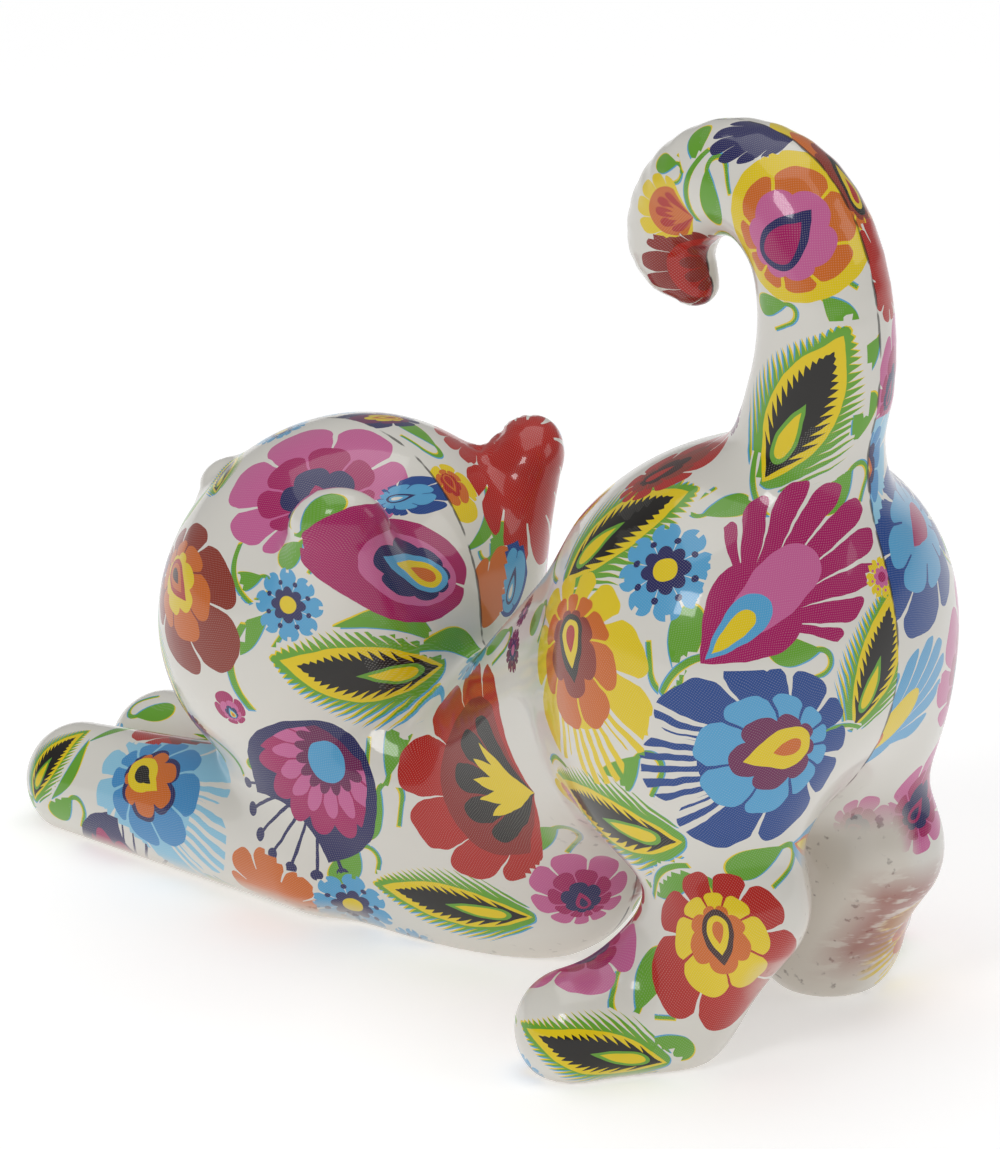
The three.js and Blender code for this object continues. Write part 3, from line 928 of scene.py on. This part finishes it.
def seam_line(place):
    """The ragged line where the film's two halves meet."""
    ragged = noise(place, 0.5, 2)
    return (abs(place.parts()[1]) < ragged * 0.36 - 0.06) * ragged.between(0.36, 0.5)


def bare_resin(place, inks):
    """Resin with dark specks."""
    specks = noise(place, 0.9, 3).between(0.62, 0.7)
    return plain(place.tree, inks.resin).over(inks.maroon, specks * 0.5)


def level_streaks(place):
    """Streaks that run level, over a faint even tint."""
    streaks = noise(place.vector("MULTIPLY", (0.3, 0.3, 1)), 1.1, 3, 0.6)
    return streaks.between(0.36, 0.5) * 0.5 + 0.25


def print_material(inks):
    """White resin under a printed film and a clear gloss lacquer."""
    material = bpy.data.materials.new("printed_resin")
    material.use_nodes = True
    tree = material.node_tree
    tree.nodes.clear()
    place = Term.node(tree, "ShaderNodeTexCoord", None, None, "Object").scaled(1 / MM)
    wobble = wandering(place)
    leaf_at = attribute(tree, "leaf_at").vector("ADD", wobble)
    bloom_at = attribute(tree, "bloom_at").vector("ADD", wobble)
    colour = plain(tree, inks.paper)
    colour = leaf_colours(colour, leaf_at, attribute(tree, "leaf_kind").parts()[0], inks)
    colour = flower_colours(colour, bloom_at, attribute(tree, "bloom_kind"), inks)
    colour = colour.over(inks.paper, dot_screen(bloom_at) * SCREEN_PALENESS)
    colour = colour.over(inks.black, seam_line(place) * 0.75)
    film, smear, _ = attribute(tree, "film").parts()
    colour = bare_resin(place, inks).over(colour, film)
    colour = colour.over(inks.rust, smear * level_streaks(place))
    bump = {"Strength": 0.06, "Distance": 0.2 * MM, "Height": noise(place, 0.6, 1)}
    sockets = {
        "Base Color": colour,
        "Roughness": inks.roughness,
        "Coat Weight": inks.lacquer,
        "Specular IOR Level": 0.2,
        "Coat Roughness": 0.05,
        "Normal": Term.node(tree, "ShaderNodeBump", None, bump),
    }
    shader = Term.node(tree, "ShaderNodeBsdfPrincipled", None, sockets)
    finished = tree.nodes.new("ShaderNodeOutputMaterial")
    tree.links.new(shader.socket, finished.inputs["Surface"])
    return material


# The print's layout


Patch = namedtuple("Patch", "middle normal across along half kind inks petals")


class Skin:
    """The casting's faces as arrays, and rays against them."""

    def __init__(self, mesh):
        self.mesh = mesh
        points = np.empty(len(mesh.vertices) * 3)
        mesh.vertices.foreach_get("co", points)
        self.points = points.reshape(-1, 3)
        self.corner_point = np.empty(len(mesh.loops), dtype=np.int32)
        mesh.loops.foreach_get("vertex_index", self.corner_point)
        self.starts = np.empty(len(mesh.polygons), dtype=np.int32)
        mesh.polygons.foreach_get("loop_start", self.starts)
        self.counts = np.empty(len(mesh.polygons), dtype=np.int32)
        mesh.polygons.foreach_get("loop_total", self.counts)
        self.corner_face = np.repeat(np.arange(len(self.starts)), self.counts)
        self.middles = self.of_faces("center", 3)
        self.normals = self.of_faces("normal", 3)
        self.areas = self.of_faces("area", 1)[:, 0]
        faces = [face.vertices for face in mesh.polygons]
        self.rays = BVHTree.FromPolygons([point.co for point in mesh.vertices], faces)

    def of_faces(self, name, width):
        values = np.empty(len(self.mesh.polygons) * width)
        self.mesh.polygons.foreach_get(name, values)
        return values.reshape(-1, width)

    def store(self, name, domain, values):
        """Keeps a vector for every corner, face or point of the mesh."""
        layer = self.mesh.attributes.new(name, "FLOAT_VECTOR", domain)
        layer.data.foreach_set("vector", np.ascontiguousarray(values, dtype=np.float32).ravel())


def patch_on(middle, normal, heading, motif):
    """A motif laid on the surface with its top along a heading."""
    along = (heading - normal * heading.dot(normal)).normalized()
    across = along.cross(normal)
    half = (motif.half[0] * MM, motif.half[1] * MM)
    return Patch(middle, normal, across, along, half, motif.kind, motif.inks, motif.petals)


def patch_in_photo(skin, motif):
    """A motif laid where the photograph shows it."""
    right, up, back = photo_axes()
    eye = PHOTO_TARGET + back * PHOTO_DISTANCE
    aside = (motif.pixel[0] - PHOTO_SIZE[0] / 2) * PHOTO_PIXEL
    above = (PHOTO_SIZE[1] / 2 - motif.pixel[1]) * PHOTO_PIXEL
    ray = right * aside + up * above - back * PHOTO_DISTANCE
    middle, normal, _, _ = skin.rays.ray_cast(eye, ray.normalized())
    if middle is None:
        middle, normal, _, _ = skin.rays.find_nearest(eye + ray)
    top = math.radians(motif.top)
    heading = right * math.cos(top) + up * math.sin(top)
    facing = max(back.dot(normal), 0.2)
    return patch_on(middle, normal, heading - back * (heading.dot(normal) / facing), motif)


def mean_half(motif):
    """Half the size of a motif, whichever way it is turned."""
    return (abs(motif.half[0]) + motif.half[1]) / 2


def local(patch, points):
    """Where points lie on a patch, in its half width and half length."""
    offset = points - np.array(patch.middle)
    flat = offset - np.outer(offset @ np.array(patch.normal), patch.normal)
    stretch = np.linalg.norm(offset, axis=1) / np.maximum(np.linalg.norm(flat, axis=1), 1e-9)
    u = flat @ np.array(patch.across) * stretch / patch.half[0]
    v = flat @ np.array(patch.along) * stretch / patch.half[1]
    return u, v


def drawn(patch, u, v):
    """Where a patch draws, with a margin round its outline."""
    within = np.maximum(abs(u), abs(v)) < 1 + PATCH_MARGIN
    if patch.inks:
        return within
    if patch.kind == FEATHER:
        climb = np.clip((v + 1) / 2, 0, 1) ** 0.8
        return within & (abs(u) < np.sin(climb * math.pi) ** 0.75 + 2 * PATCH_MARGIN)
    if patch.kind == CRESCENT:
        return within & (off_crescent(u, v) < 2 * PATCH_MARGIN)
    if patch.kind == STEM:
        return within & (off_stem(u, v) < 2 * PATCH_MARGIN)
    return within


def covered(skin, patches):
    """The patch nearest to each face, or -1 where none reaches."""
    owner = np.full(len(skin.starts), -1)
    best = np.full(len(skin.starts), np.inf)
    for index, patch in enumerate(patches):
        offset = skin.middles - np.array(patch.middle)
        near = np.linalg.norm(offset, axis=1) < max(patch.half) * PATCH_REACH
        near &= skin.normals @ np.array(patch.normal) > PATCH_TURN
        near &= (skin.middles[:, 1] > 0) == (patch.middle.y > 0)
        faces = np.flatnonzero(near)
        u, v = local(patch, skin.middles[faces])
        score = np.hypot(u, v) + (COMMA_YIELD if patch.kind == COMMA and not patch.inks else 0)
        better = drawn(patch, u, v) & (score < best[faces])
        best[faces[better]] = score[better]
        owner[faces[better]] = index
    return owner


def lay(skin, name, patches):
    """Stores on each face and corner what its patch draws there."""
    owner = covered(skin, patches)
    kinds = np.zeros((len(owner), 3))
    places = np.zeros((len(skin.corner_face), 3))
    schemes = list(SCHEMES)
    for index, patch in enumerate(patches):
        scheme = schemes.index(patch.inks) if patch.inks else 0
        kinds[owner == index] = (patch.kind, scheme, patch.petals)
        corners = np.flatnonzero(owner[skin.corner_face] == index)
        u, v = local(patch, skin.points[skin.corner_point[corners]])
        size = np.full(len(corners), mean_half(patch) / MM)
        places[corners] = np.stack((u, v, size), axis=1)
    skin.store(name + "_kind", "FACE", kinds)
    skin.store(name + "_at", "CORNER", places)


def in_photo(skin, middle, normal):
    """Whether the photograph shows a point of the surface, other than edge-on."""
    _, _, back = photo_axes()
    towards = PHOTO_TARGET + back * PHOTO_DISTANCE - middle
    if towards.dot(normal) < FILL_EDGE_ON * towards.length:
        return False
    return skin.rays.ray_cast(middle + normal * 0.1 * MM, towards.normalized())[0] is None


def on_head(point):
    """A point of the level head, where it ends up on the cat."""
    x, y, z = point
    across = math.cos(HEAD_PITCH)
    down = math.sin(HEAD_PITCH)
    turned = Vector((x * across - z * down, y, x * down + z * across))
    return (turned + Vector(HEAD_PLACE) - Vector((MIDDLE_X, 0, 0))) * MM


def rim_of(skin, patch):
    """Spots of the surface, with their normals, part of the way out to a patch's rim."""
    for step in range(FILL_RIM_STEPS):
        turn = TAU * step / FILL_RIM_STEPS
        aside = patch.across * (patch.half[0] * math.cos(turn))
        ahead = patch.along * (patch.half[1] * math.sin(turn))
        yield skin.rays.find_nearest(patch.middle + (aside + ahead) * FILL_SHOWING)[:2]


def fill(skin, patches, random):
    """Throws motifs at the sides that the photograph hides, and keeps those that land clear of the rest."""
    patches = list(patches)
    face = on_head(FACE_MIDDLE)
    chances = np.cumsum(skin.areas) / skin.areas.sum()
    for tier in FILL_TIERS:
        turn = 0
        for _ in range(FILL_TRIES):
            filler = tier[turn % len(tier)]
            spot = int(np.searchsorted(chances, random.random()))
            middle = Vector(skin.middles[spot])
            normal = Vector(skin.normals[spot])
            heading = Vector(random.normal(size=3))
            reach = mean_half(filler) * MM
            clear = (middle - face).length > reach + FACE_CLEAR * MM and all(
                (middle - other.middle).length > FILL_SPACING * (reach + mean_half(other))
                for other in patches
                if normal.dot(other.normal) > FILL_TURN
            )
            if not clear or in_photo(skin, middle, normal):
                continue
            patch = patch_on(middle, normal, heading, filler)
            if any(in_photo(skin, *rim) for rim in rim_of(skin, patch)):
                continue
            patches.append(patch)
            turn += 1
    return patches


def ramp(values, none, full):
    """Rises evenly from 0 to 1 between two values."""
    return np.clip((values - none) / (full - none), 0, 1)


def film_edge(skin):
    """Marks the bare underside and inner hind legs, and the smear on the right hind leg."""
    normals = np.empty(len(skin.points) * 3)
    skin.mesh.vertices.foreach_get("normal", normals)
    normals = normals.reshape(-1, 3)
    x, y, z = (skin.points / MM).T
    inward = -normals[:, 1] * np.sign(y)
    behind = x + MIDDLE_X < HIND_LEG_FRONT
    hind = ramp(inward, *BARE_LEG_FACING) * ramp(z, *BARE_LEG_TOP) * behind
    under = ramp(-normals[:, 2], *UNDERSIDE_FACING) * ramp(z, *UNDERSIDE_TOP)
    film = 1 - np.maximum(hind, under)
    outward = normals @ np.array(photo_axes()[0])
    smear = ramp(outward, *SMEAR_FACING) * ramp(z, *SMEAR_TOP) * ramp(z, *SMEAR_FOOT) * (y < 0) * behind
    skin.store("film", "POINT", np.stack((film, smear, np.zeros_like(film)), axis=1))


def print_cat(mesh):
    """Lays the whole print on the casting."""
    skin = Skin(mesh)
    patches = [patch_in_photo(skin, motif) for motif in BLOOMS + LEAVES]
    patches = fill(skin, patches, np.random.default_rng(FILL_SEED))
    lay(skin, "bloom", [patch for patch in patches if patch.inks])
    lay(skin, "leaf", [patch for patch in patches if not patch.inks])
    film_edge(skin)


# Stage


def photo_axes():
    """The photograph's camera: the directions to its right, up and back."""
    back = Vector((
        -math.sin(PHOTO_TURN) * math.cos(PHOTO_RISE),
        math.cos(PHOTO_TURN) * math.cos(PHOTO_RISE),
        math.sin(PHOTO_RISE),
    ))
    right = Vector((0, 0, 1)).cross(back).normalized()
    return right, back.cross(right), back


def make_camera():
    """A camera where the photograph's stood."""
    right, up, back = photo_axes()
    data = bpy.data.cameras.new("camera")
    data.sensor_width = SENSOR
    data.lens = SENSOR * PHOTO_DISTANCE / PHOTO_PIXEL / max(PHOTO_SIZE)
    camera = bpy.data.objects.new("camera", data)
    camera.location = PHOTO_TARGET + back * PHOTO_DISTANCE
    camera.rotation_mode = "QUATERNION"
    camera.rotation_quaternion = (-back).to_track_quat("-Z", "Y")
    bpy.context.scene.collection.objects.link(camera)
    bpy.context.scene.camera = camera


def make_light(name, place, size, power):
    """A soft square light that faces the cat."""
    data = bpy.data.lights.new(name, "AREA")
    data.size = size
    data.energy = power
    light = bpy.data.objects.new(name, data)
    light.location = place
    light.rotation_mode = "QUATERNION"
    light.rotation_quaternion = (Vector(place) - PHOTO_TARGET).to_track_quat("Z", "Y")
    bpy.context.scene.collection.objects.link(light)


def make_floor(colour, glow):
    """A wide pale floor, lit a little from below."""
    signs = ((-1, -1), (1, -1), (1, 1), (-1, 1))
    corners = [(x * FLOOR_HALF, y * FLOOR_HALF, 0) for x, y in signs]
    mesh = bpy.data.meshes.new("floor")
    mesh.from_pydata(corners, [], [(0, 1, 2, 3)])
    material = bpy.data.materials.new("floor")
    material.use_nodes = True
    paint = material.node_tree.nodes["Principled BSDF"]
    paint.inputs["Base Color"].default_value = (*colour, 1)
    paint.inputs["Roughness"].default_value = 0.9
    paint.inputs["Specular IOR Level"].default_value = 0.1
    paint.inputs["Emission Color"].default_value = (1, 1, 1, 1)
    paint.inputs["Emission Strength"].default_value = glow
    mesh.materials.append(material)
    floor = bpy.data.objects.new("floor", mesh)
    bpy.context.scene.collection.objects.link(floor)


def make_surround(strength):
    """Even white light from all round."""
    world = bpy.data.worlds.new("studio")
    world.use_nodes = True
    light = world.node_tree.nodes["Background"]
    light.inputs["Color"].default_value = (1, 1, 1, 1)
    light.inputs["Strength"].default_value = strength
    bpy.context.scene.world = world
    bpy.context.scene.view_settings.view_transform = "Standard"


# Settings


def ink(name, description, *screen):
    """A colour that a user can change."""
    return bpy.props.FloatVectorProperty(
        name=name, description=description, subtype="COLOR", size=3, min=0, max=1, default=srgb(*screen)
    )


def length(name, description, millimetres, low, high):
    """A length that a user can change."""
    return bpy.props.FloatProperty(
        name=name,
        description=description,
        default=millimetres * MM,
        min=low * MM,
        max=high * MM,
        precision=5,
        subtype="DISTANCE",
        unit="LENGTH",
    )


def share(name, description, value):
    """A share from 0 to 1 that a user can change."""
    return bpy.props.FloatProperty(
        name=name, description=description, default=value, min=0, max=1, subtype="FACTOR"
    )


def power(name, description, watts):
    """A light's power that a user can change."""
    return bpy.props.FloatProperty(name=name, description=description, default=watts, min=0, unit="POWER")


class CatCasting(bpy.types.PropertyGroup):
    """Sizes of the casting."""

    cell: length("Cell", "Size of the cells that the casting is drawn in", CELL, 0.3, 2)
    ground_edge: length("Ground Edge", "Softness of the edge round the flat underside", GROUND_EDGE, 0.1, 3)
    fold_height: length("Fold Height", "Height of the small folds in the film", FOLD_HEIGHT, 0, 1)


class CatInks(bpy.types.PropertyGroup):
    """Colours of the print."""

    paper: ink("Paper", "White between the motifs", 222, 219, 211)
    resin: ink("Resin", "Bare resin where the film ends", 214, 207, 196)
    green: ink("Green", "Leaves", 102, 163, 46)
    yellow: ink("Yellow", "Yellow petals and leaf bands", 228, 200, 10)
    black: ink("Black", "Leaf cores", 24, 20, 16)
    red: ink("Red", "Red petals", 178, 24, 12)
    rust: ink("Rust", "Brown red petals", 140, 48, 32)
    crimson: ink("Crimson", "Rings of red flowers", 138, 28, 20)
    maroon: ink("Maroon", "Dark red rings", 60, 22, 22)
    orange: ink("Orange", "Orange rings", 206, 104, 24)
    magenta: ink("Magenta", "Carnation petals", 165, 8, 94)
    pink: ink("Pink", "Pink petals", 198, 96, 150)
    navy: ink("Navy", "Dark blue petals", 30, 30, 90)
    blue: ink("Blue", "Middle blue petals", 6, 64, 138)
    sky: ink("Sky", "Light blue petals", 82, 162, 208)
    mist: ink("Mist", "Pale blue petals", 140, 196, 222)
    azure: ink("Azure", "Rings of light blue flowers", 60, 138, 194)
    purple: ink("Purple", "Purple cores", 108, 22, 80)
    roughness: share("Roughness", "Roughness of the film", 0.3)
    lacquer: share("Lacquer", "Share of clear lacquer over the film", 0.6)


class CatStage(bpy.types.PropertyGroup):
    """Light and floor round the cat."""

    floor: ink("Floor", "Colour of the floor", 243, 243, 243)
    floor_glow: share("Floor Glow", "Light that comes up through the floor", 0.36)
    key_power: power("Key Power", "Power of the key light", 2.7)
    top_power: power("Top Power", "Power of the broad light overhead", 8.2)
    side_power: power("Side Power", "Power of the light from the right", 1.3)
    surround: share("Surround", "Brightness of the light from all round", 0.25)


# Operators


class CAT_OT_casting(bpy.types.Operator):
    """Cast the cat, print it and set it in place of the solid"""

    bl_idname = "cat.casting"
    bl_label = "Cast and Print the Cat"

    def execute(self, context):
        scene = context.scene
        cat = cast_cat(scene.cat_casting, print_material(scene.cat_inks))
        print_cat(cat.data)
        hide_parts("cat")
        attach(cat, "root")
        return {"FINISHED"}


class CAT_OT_stage(bpy.types.Operator):
    """Set out the floor, the light and the photograph's camera"""

    bl_idname = "cat.stage"
    bl_label = "Set the Stage"

    def execute(self, context):
        settings = context.scene.cat_stage
        make_floor(settings.floor, settings.floor_glow)
        make_light("key", *KEY_LIGHT, settings.key_power)
        make_light("top", *TOP_LIGHT, settings.top_power)
        make_light("side", *SIDE_LIGHT, settings.side_power)
        make_surround(settings.surround)
        make_camera()
        return {"FINISHED"}


class CAT_PT_sidebar(bpy.types.Panel):
    """The cat's settings and steps"""

    bl_idname = "CAT_PT_sidebar"
    bl_label = "Printed Resin Cat"
    bl_space_type = "VIEW_3D"
    bl_region_type = "UI"
    bl_category = "Cat"

    def draw(self, context):
        for group, step in (("cat_casting", None), ("cat_inks", "cat.casting"), ("cat_stage", "cat.stage")):
            box = self.layout.box()
            settings = getattr(context.scene, group)
            for name in settings.__annotations__:
                box.prop(settings, name)
            if step:
                box.operator(step)


GROUPS = {"cat_casting": CatCasting, "cat_inks": CatInks, "cat_stage": CatStage}
CLASSES = (*GROUPS.values(), CAT_OT_casting, CAT_OT_stage, CAT_PT_sidebar)


def register():
    for cls in CLASSES:
        bpy.utils.register_class(cls)
    for name, group in GROUPS.items():
        setattr(bpy.types.Scene, name, bpy.props.PointerProperty(type=group))


def unregister():
    for name in GROUPS:
        delattr(bpy.types.Scene, name)
    for cls in reversed(CLASSES):
        bpy.utils.unregister_class(cls)


def main():
    register()
    bpy.ops.cat.casting()
    bpy.ops.cat.stage()


if __name__ == "__main__":
    main()
